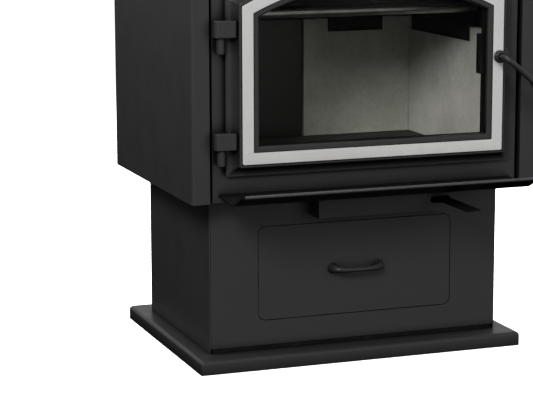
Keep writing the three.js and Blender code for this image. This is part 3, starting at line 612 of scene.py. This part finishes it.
def make_trim():
    front = TRIM_LOW.y
    seat = TRIM_HIGH.y
    edge = 0.0008
    section = [
        (TRIM_INNER, seat),
        *[(TRIM_INNER + edge - edge * math.cos(t), front + edge - edge * math.sin(t))
          for t in (0, math.pi / 4, math.pi / 2)],
        *[(TRIM_OUTER - edge + edge * math.sin(t), front + edge - edge * math.cos(t))
          for t in (0, math.pi / 4, math.pi / 2)],
        (TRIM_OUTER, seat),
    ]
    piece = as_object("nickel_trim_band", arch_band("nickel_trim_band", section), NICKEL, 30.0)
    notch = COLLAR_RADIUS + 0.0007
    profile = [(notch, 0.0), (notch, 0.012)]
    base = (SPINDLE_X, front - 0.004, SPINDLE_Z)
    cutter = as_object("collar_notch", turned("collar_notch", profile, base, (0, 1, 0)), NICKEL)
    carve(piece, cutter)
    piece.data.set_sharp_from_angle(angle=math.radians(30))
    stand_for(piece, "door_trim")


def make_glass():
    points = arch(0.010, GLASS_LOW.y)
    mesh = prism("door_pane", points, (0, GLASS_HIGH.y - GLASS_LOW.y, 0))
    stand_for(as_object("door_pane", mesh, GLASS), "door_glass")


def make_seals():
    """The door rope is round, the glass tape is a flat ring, and a steel ring holds the glass from behind."""
    low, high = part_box("door_gasket")
    radius = (high.y - low.y) / 2
    middle = (high.y + low.y) / 2
    section = [(SEAL + u, v) for u, v in arc((0.0, middle), radius, 0, 330, 11)]
    stand_for(as_object("door_rope", arch_band("door_rope", section), ROPE, 60.0), "door_gasket")
    refined("glass_gasket", 0.0003)
    low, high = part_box("glass_retainer")
    front = GLASS_HIGH.y + 0.0003
    section = [
        (0.0006, front), (0.0028, front), (0.0028, low.y), (0.017, low.y), (0.017, high.y),
        (0.0045, high.y), (0.0032, high.y + 0.0015), (0.0026, high.y + 0.009), (0.0006, high.y + 0.009),
    ]
    stand_for(as_object("retainer_ring", arch_band("retainer_ring", section), MILL, 40.0), "glass_retainer")


def make_hinges():
    for place in ("upper", "lower"):
        low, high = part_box("hinge_block_" + place)
        right = high.x
        front = low.y
        plan = arc((low.x + 0.008, high.y - 0.008), 0.008, 90, 180, 8)
        plan += arc((low.x + 0.008, front + 0.008), 0.008, 180, 270, 8)
        plan += [(right - 0.006, front), (right, front + 0.005), (right, high.y)]
        outline = [Vector((x, y, low.z)) for x, y in plan]
        mesh = prism("hinge_leaf_" + place, outline, (0, 0, high.z - low.z))
        stand_for(as_object("hinge_leaf_" + place, mesh, CASTING, 30.0, 0.0016, 4), "hinge_block_" + place)

        low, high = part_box("hinge_post_" + place)
        x = (low.x + high.x) / 2
        radius = (high.x - low.x) / 2
        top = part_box("hinge_block_" + place)[0].z - 0.0003
        height = top - low.z
        base = (x, low.y + radius, low.z)
        profile = [(0.0, 0.0), (radius - 0.0025, 0.0), (radius - 0.0007, 0.0007), (radius, 0.0025)]
        profile += [(radius, height - 0.0012), (radius - 0.0012, height)]
        profile += [(0.005, height), (0.005, high.z - low.z), (0.0, high.z - low.z)]
        mesh = turned("hinge_pin_" + place, profile, base, (0, 0, 1), 40)
        stand_for(as_object("hinge_pin_" + place, mesh, CASTING, 35.0), "hinge_post_" + place)
        web_low = (x - 0.0045, low.y + radius, low.z + 0.001)
        web_high = (x + 0.0045, high.y, top - 0.001)
        mesh = block("hinge_web_" + place, web_low, web_high)
        add_to(as_object("hinge_web_" + place, mesh, CASTING, 40.0, 0.001, 2), "hinge_post_" + place)


# ---- Handle ----

def make_handle():
    low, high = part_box("handle_grip")
    rod_low, rod_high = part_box("handle_rod")
    reach = (low.y + high.y) / 2
    turn = math.radians(-39.7)  # the handle's slope at rest
    along = Vector((math.cos(turn), 0, math.sin(turn)))
    bend = 0.018
    start = Vector((SPINDLE_X, reach, SPINDLE_Z))
    path = [
        Vector((SPINDLE_X, rod_high.y, SPINDLE_Z)),
        Vector((SPINDLE_X, -0.285, SPINDLE_Z)),
        Vector((SPINDLE_X, -0.310, SPINDLE_Z)),
        Vector((SPINDLE_X, reach + bend, SPINDLE_Z)),
        start + along * 0.005 + Vector((0, 0.005, 0)),
        start + along * bend,
        start + along * 0.045,
        start + along * 0.090,
        start + along * 0.135,
        start + along * 0.176,
    ]
    mesh = tube("bent_rod", smooth_path(path, 8), ROD_RADIUS, 24)
    stand_for(as_object("bent_rod", mesh, CASTING, 50.0), "handle_rod")

    ring_low, ring_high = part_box("handle_collar")
    width = ring_high.y - ring_low.y
    bore = 0.0056
    edge = 0.003
    profile = [(bore, 0.0), (COLLAR_RADIUS, 0.0), (COLLAR_RADIUS, width - edge)]
    profile += [(COLLAR_RADIUS - edge + edge * math.cos(t), width - edge + edge * math.sin(t))
                for t in (math.pi / 8, math.pi / 4, 3 * math.pi / 8, math.pi / 2)]
    profile += [(0.0075, width), (bore, width - 0.001), (bore, 0.0)]
    base = (SPINDLE_X, ring_high.y, SPINDLE_Z)
    mesh = turned("spindle_collar", profile, base, (0, -1, 0), 48)
    stand_for(as_object("spindle_collar", mesh, CASTING, 35.0), "handle_collar")

    grip_start = start + along * 0.078
    length = 0.106
    thick = 0.0117
    neck = 0.0088
    end = thick * 0.86
    profile = [(0.0058, 0.0), (0.0085, 0.0), (0.0094, 0.0012), (0.0094, 0.006), (0.0086, 0.0068)]
    profile += [(0.0086, 0.0085)]
    steps = 22
    for i in range(steps + 1):
        share = i / steps
        swell = math.sin(math.pi * min(1.0, share * 1.02)) ** 0.32
        radius = neck + (thick - neck) * swell if share < 0.94 else end
        profile.append((radius, 0.0092 + (length - 0.0142) * share))
    for i in range(1, 6):
        t = math.pi / 2 * i / 5
        profile.append((end * math.cos(t), length - 0.005 + 0.005 * math.sin(t)))
    mesh = turned("turned_grip", profile, grip_start, along, 48)
    stand_for(as_object("turned_grip", mesh, GRIP, 35.0), "handle_grip")

    # The latch's cover is a block with a bore for the spindle.
    refined("latch_cam", 0.0006)
    low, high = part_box("latch_housing")
    cover = ((low.x - 0.0075, low.y, low.z), (high.x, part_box("latch_cam")[0].y - 0.0010, high.z))
    piece = as_object("latch_cover", block("latch_cover", *cover), MILL, 40.0, 0.002, 3)
    hole = ROD_RADIUS + 0.0003
    base = (SPINDLE_X, -0.300, SPINDLE_Z)
    mesh = turned("spindle_bore", [(hole, 0.0), (hole, 0.04)], base, (0, 1, 0), 32)
    carve(piece, as_object("spindle_bore", mesh, MILL))
    stand_for(piece, "latch_housing")


# ---- Ash drawer ----

def make_drawer():
    low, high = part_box("drawer_front")
    spare = 0.0010
    outline = [Vector((x, low.y, z)) for x, z in rounded(
        (low.x - spare, low.z - spare), (high.x + spare, high.z + spare), 0.014 + spare, 8)]
    mesh = prism("drawer_panel", outline, (0, high.y - low.y, 0))
    stand_for(as_object("drawer_panel", mesh, PAINT, 40.0, 0.0007, 3), "drawer_front")
    refined("drawer_box", 0.0005)

    # The pull's bow swells into a round foot at each end.
    pull_low, pull_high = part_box("drawer_pull")
    face = pull_high.y
    margin = 0.0130
    wire = 0.0048  # radius of the bow in its middle
    flare = 0.0042  # how much more its radius is at the feet
    span = pull_high.x - margin
    height = pull_high.z - margin
    depth = face - pull_low.y - 0.0052
    drop = 0.0010
    path = []
    count = 48
    for i in range(count + 1):
        turn = math.pi * i / count
        x = -span * math.cos(turn)
        path.append(Vector((x, face - depth * math.sin(turn) ** 0.62, height - drop * math.sin(turn))))

    def thickness(share):
        middle = abs(2 * share - 1)
        return wire + flare * middle ** 1.6

    mesh = tube("bow_pull", path, thickness, 24)
    stand_for(as_object("bow_pull", mesh, CASTING, 60.0), "drawer_pull")
    for side, x in (("left", -span), ("right", span)):
        profile = [(0.0, 0.0), (0.0108, 0.0), (0.0110, 0.0012)]
        profile += [(0.0098, 0.0028), (0.0090, 0.0050), (0.0, 0.0050)]
        mesh = turned("pull_foot_" + side, profile, (x, face, height), (0, -1, 0), 36)
        add_to(as_object("pull_foot_" + side, mesh, CASTING, 50.0), "drawer_pull")


# ---- Sheet metal ----

def make_base():
    low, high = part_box("base_plate")
    edge = 0.008
    wall = 0.003
    levels = [(0.0, 0.0)]
    levels += [(edge - edge * math.cos(t), high.z - edge + edge * math.sin(t))
               for t in [math.pi / 2 * i / 8 for i in range(9)]]
    levels += [(edge + 0.002, high.z)]
    loops = []
    for inset, z in levels:
        outline = rounded((low.x + inset, low.y + inset), (high.x - inset, high.y - inset), 0.006, 6)
        loops.append([Vector((x, y, z)) for x, y in outline])
    inner = rounded((low.x + wall, low.y + wall), (high.x - wall, high.y - wall), 0.004, 6)
    inside = [[Vector((x, y, z)) for x, y in inner] for z in (0.0, high.z - wall)]
    mesh = skin("base_pan", [inside[1], inside[0], *loops])
    stand_for(as_object("base_pan", mesh, PAINT, 50.0), "base_plate")


def make_toe_shadow():
    """A dark strip fills the gap between the pedestal's front and the base, a little behind the face: a
    painted shadow standing in for the shade in the toe gap.
    """
    low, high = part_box("pedestal_front")
    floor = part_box("base_plate")[1].z
    mesh = block("toe_shadow_strip", (low.x + 0.004, high.y, floor), (high.x - 0.004, high.y + 0.002, low.z + 0.001))
    add_to(as_object("toe_shadow_strip", mesh, MILL, 40.0, 0.0003, 2), "pedestal_front")


def make_lip():
    """The ash lip's sheet falls a little, sweeps up and ends in a roll."""
    low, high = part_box("ash_lip")
    roll = 0.0034
    half = 0.00225  # half the sheet's thickness
    inset = 0.0003  # the sheet stops this far short of the roll's ends
    line = [
        Vector((0, high.y, 0.3677)), Vector((0, -0.310, 0.3645)), Vector((0, -0.346, 0.3616)),
        Vector((0, -0.362, 0.3645)), Vector((0, -0.385, 0.376)), Vector((0, -0.408, 0.386)),
        Vector((0, low.y + roll, 0.3902)),
    ]
    path = smooth_path(line, 8)
    upper = []
    lower = []
    for i, point in enumerate(path):
        tangent = (path[min(i + 1, len(path) - 1)] - path[max(i - 1, 0)]).normalized()
        across = Vector((0, -tangent.z, tangent.y))
        if across.z < 0:
            across = -across
        upper.append(point + across * half)
        lower.append(point - across * half)
    outline = [p + Vector((low.x + inset, 0, 0)) for p in [*upper, *reversed(lower)]]
    mesh = prism("ash_lip_sheet", outline, (high.x - low.x - 2 * inset, 0, 0))
    # The sheet's darker paint is painted shade.
    stand_for(as_object("ash_lip_sheet", mesh, SHADED_LIP_PAINT, 50.0, 0.0006, 2), "ash_lip")

    # The roll along the front edge is a bar the sheet ends in; its lighter paint is a painted highlight.
    end = path[-1]
    round_bar = [Vector((low.x, end.y + u, end.z + v)) for u, v in arc((0, 0), roll, 0, 350, 35)]
    mesh = prism("ash_lip_roll", round_bar, (high.x - low.x, 0, 0))
    add_to(as_object("ash_lip_roll", mesh, HIGHLIT_ROLL_PAINT, 50.0, 0.0005, 2), "ash_lip")


def make_air_control():
    refined("air_box", 0.0012, None, 40.0, 3)
    refined("air_lever", 0.0007, MILL)


def make_casing():
    for node in ("casing_side_left", "casing_side_right", "casing_back", "pedestal_wrap", "pedestal_front"):
        refined(node, 0.0006)
    refined("front_plate", 0.0012)
    refined("top_plate", 0.0012, None, 40.0, 3)

    # Pan-head screws hold the back panel.
    low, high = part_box("casing_back")
    rows = [low.z + 0.014, (low.z + high.z) / 2, high.z - 0.014]
    places = [(x, z) for z in rows for x in (low.x + 0.012, high.x - 0.012)]
    places += [(x, z) for z in (rows[0], rows[2]) for x in (-0.18, 0.0, 0.18)]
    for i, (x, z) in enumerate(sorted(places)):
        profile = [(0.0, 0.0), (0.0052, 0.0), (0.0052, 0.0008), (0.0045, 0.0019), (0.0030, 0.0026)]
        profile += [(0.0014, 0.0028), (0.0012, 0.0012), (0.0, 0.0012)]
        mesh = turned(f"panel_screw_{i + 1}", profile, (x, high.y, z), (0, 1, 0), 20)
        add_to(as_object(f"panel_screw_{i + 1}", mesh, STEEL, 40.0), "casing_back")


# ---- Firebox ----

def make_lining():
    for node, material in (
        ("brick_side_left", BRICK), ("brick_side_right", BRICK), ("brick_back", BACK_BRICK),
        ("baffle_board", BRICK), ("brick_floor", FLOOR_BRICK),
    ):
        refined(node, 0.0025, material, 40.0, 3)
    for node in (
        "cast_back_plate", "brick_rail_left", "brick_rail_right", "brick_rail_back", "air_wash_header",
    ):
        refined(node, 0.0008)
    low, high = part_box("ash_plug")
    top = high.z - low.z
    wide = (high.x - low.x) / 2
    neck = wide - 0.0095
    profile = [(0.0, 0.0), (neck, 0.0), (neck, 0.006), (wide, 0.006), (wide, 0.024), (wide - 0.002, 0.026)]
    profile += [(0.014, 0.028), (0.009, 0.032), (0.0095, 0.036)]
    profile += [(0.0112 * math.cos(t), 0.0405 + 0.0068 * math.sin(t)) for t in (-0.5, 0.0, 0.4, 0.8, 1.15)]
    profile.append((0.0, top))
    mesh = turned("floor_plug", profile, ((low.x + high.x) / 2, (low.y + high.y) / 2, low.z), (0, 0, 1), 48)
    stand_for(as_object("floor_plug", mesh, CASTING, 35.0), "ash_plug")


def make_flue():
    low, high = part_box("flue_collar")
    centre = ((low.x + high.x) / 2, (low.y + high.y) / 2, low.z)
    height = high.z - low.z
    bore, outer, flange = 0.075, 0.080, (high.x - low.x) / 2
    profile = [(bore, 0.0), (flange, 0.0), (flange, 0.0045), (flange - 0.0015, 0.006), (outer + 0.004, 0.006)]
    profile += [(outer + 0.0012, 0.0075), (outer, 0.011), (outer, height - 0.002), (outer - 0.0015, height)]
    profile += [(bore + 0.001, height), (bore, height - 0.001), (bore, 0.0)]
    mesh = turned("cast_collar", profile, centre, (0, 0, 1), 72)
    stand_for(as_object("cast_collar", mesh, CASTING, 35.0), "flue_collar")


make_door_frame()
make_trim()
make_glass()
make_seals()
make_hinges()
make_handle()
make_drawer()
make_base()
make_toe_shadow()
make_lip()
make_air_control()
make_casing()
make_lining()
make_flue()
for node_name, node_slot in SLOT_OF.items():
    paint_node(node_name, FINISHES[node_slot])


# ---- Camera, floor and light ----

def make_camera():
    data = bpy.data.cameras.new("camera")
    data.lens = CAMERA_LENS
    data.sensor_width = 36.0
    data.clip_end = 60.0
    made = bpy.data.objects.new("camera", data)
    bpy.context.scene.collection.objects.link(made)
    made.location = CAMERA_PLACE
    yaw = Matrix.Rotation(math.radians(-CAMERA_YAW), 3, "Z")
    pitch = Matrix.Rotation(math.radians(90 - CAMERA_PITCH), 3, "X")
    roll = Matrix.Rotation(math.radians(CAMERA_ROLL), 3, "Z")
    made.rotation_euler = (yaw @ pitch @ roll).to_euler()
    bpy.context.scene.camera = made


def make_floor():
    box = Paintbox("studio_floor")
    color = box.ramp(box.noise(2.0), (0.2, (0.86, 0.86, 0.86)), (0.8, (0.90, 0.90, 0.90)))
    box.set(Base_Color=color, Roughness=0.9)
    box.shader.inputs["Specular IOR Level"].default_value = 0.0
    box.shader.inputs["Emission Color"].default_value = (1.0, 1.0, 1.0, 1.0)
    box.shader.inputs["Emission Strength"].default_value = 0.75
    reach = 30.0
    signs = ((-1, -1), (1, -1), (1, 1), (-1, 1))
    corners = [Vector((reach * x, reach * y, 0.0)) for x, y in signs]
    mesh = mesh_of("studio_floor", corners, [(0, 1, 2, 3)])
    mesh.materials.append(box.material)
    floor = bpy.data.objects.new("studio_floor", mesh)
    bpy.context.scene.collection.objects.link(floor)
    floor.visible_glossy = False
    floor.visible_diffuse = False


def make_sky():
    """A soft studio, brightest in front and behind, dimmer overhead and dark below. The backdrop is white."""
    world = bpy.data.worlds.new("studio")
    bpy.context.scene.world = world
    world.use_nodes = True
    tree = world.node_tree
    nodes, links = tree.nodes, tree.links
    out = nodes["World Output"]
    light = nodes["Background"]
    axes = nodes.new("ShaderNodeSeparateXYZ")
    links.new(nodes.new("ShaderNodeTexCoord").outputs["Generated"], axes.inputs[0])

    def spread(socket, start, end, low, high):
        made = nodes.new("ShaderNodeMapRange")
        made.interpolation_type = "SMOOTHSTEP"
        made.inputs["From Min"].default_value = start
        made.inputs["From Max"].default_value = end
        made.inputs["To Min"].default_value = low
        made.inputs["To Max"].default_value = high
        links.new(socket, made.inputs["Value"])
        return made.outputs["Result"]

    def combine(operation, *sockets):
        made = nodes.new("ShaderNodeMath")
        made.operation = operation
        for socket, source in zip(made.inputs, sockets):
            links.new(source, socket)
        return made.outputs[0]

    depth, height = axes.outputs["Y"], axes.outputs["Z"]
    overhead = spread(height, 0.2, 1.0, 0.0, 0.4)
    ahead = combine(
        "MULTIPLY_ADD",
        spread(depth, -0.1, -0.9, 0.0, 1.0), spread(height, -0.5, -0.12, 0.10, 1.0), overhead,
    )
    everywhere = combine(
        "MULTIPLY_ADD",
        spread(depth, -0.1, 0.8, 0.0, 1.0), spread(height, -0.12, 0.16, 0.0, 1.0), ahead,
    )
    links.new(everywhere, light.inputs["Color"])
    light.inputs["Strength"].default_value = 0.62
    backdrop = nodes.new("ShaderNodeBackground")
    backdrop.inputs["Color"].default_value = (1.0, 1.0, 1.0, 1.0)
    choice = nodes.new("ShaderNodeMixShader")
    links.new(nodes.new("ShaderNodeLightPath").outputs["Is Camera Ray"], choice.inputs[0])
    links.new(light.outputs[0], choice.inputs[1])
    links.new(backdrop.outputs[0], choice.inputs[2])
    links.new(choice.outputs[0], out.inputs["Surface"])


def make_lamp(name, place, target, size, power, glossy=True):
    data = bpy.data.lights.new(name, "AREA")
    data.shape = "RECTANGLE"
    data.size, data.size_y = size
    data.energy = power
    made = bpy.data.objects.new(name, data)
    bpy.context.scene.collection.objects.link(made)
    made.location = place
    made.rotation_euler = (Vector(target) - Vector(place)).to_track_quat("-Z", "Y").to_euler()
    made.visible_glossy = glossy


make_camera()
make_floor()
make_sky()
make_lamp("key_lamp", (-1.9, -2.7, 2.05), (0.0, -0.3, 0.55), (0.9, 0.9), 105.0)
make_lamp("fill_lamp", (1.6, -2.8, 1.2), (0.1, -0.3, 0.5), (1.4, 1.4), 34.0, False)
make_lamp("left_lamp", (-1.4, 0.1, 1.7), (-0.38, 0.0, 0.9), (0.6, 0.6), 14.0)
make_lamp("overhead_lamp", (0.0, 0.0, 3.2), (0.0, 0.0, 0.2), (1.4, 1.4), 60.0)
make_lamp("rear_lamp", (1.4, 3.0, 2.0), (0.0, 0.2, 0.5), (2.2, 2.0), 170.0, False)
make_lamp("right_lamp", (2.8, 1.0, 1.6), (0.3, 0.1, 0.5), (1.8, 1.8), 90.0, False)
bpy.context.scene.view_settings.view_transform = "Standard"
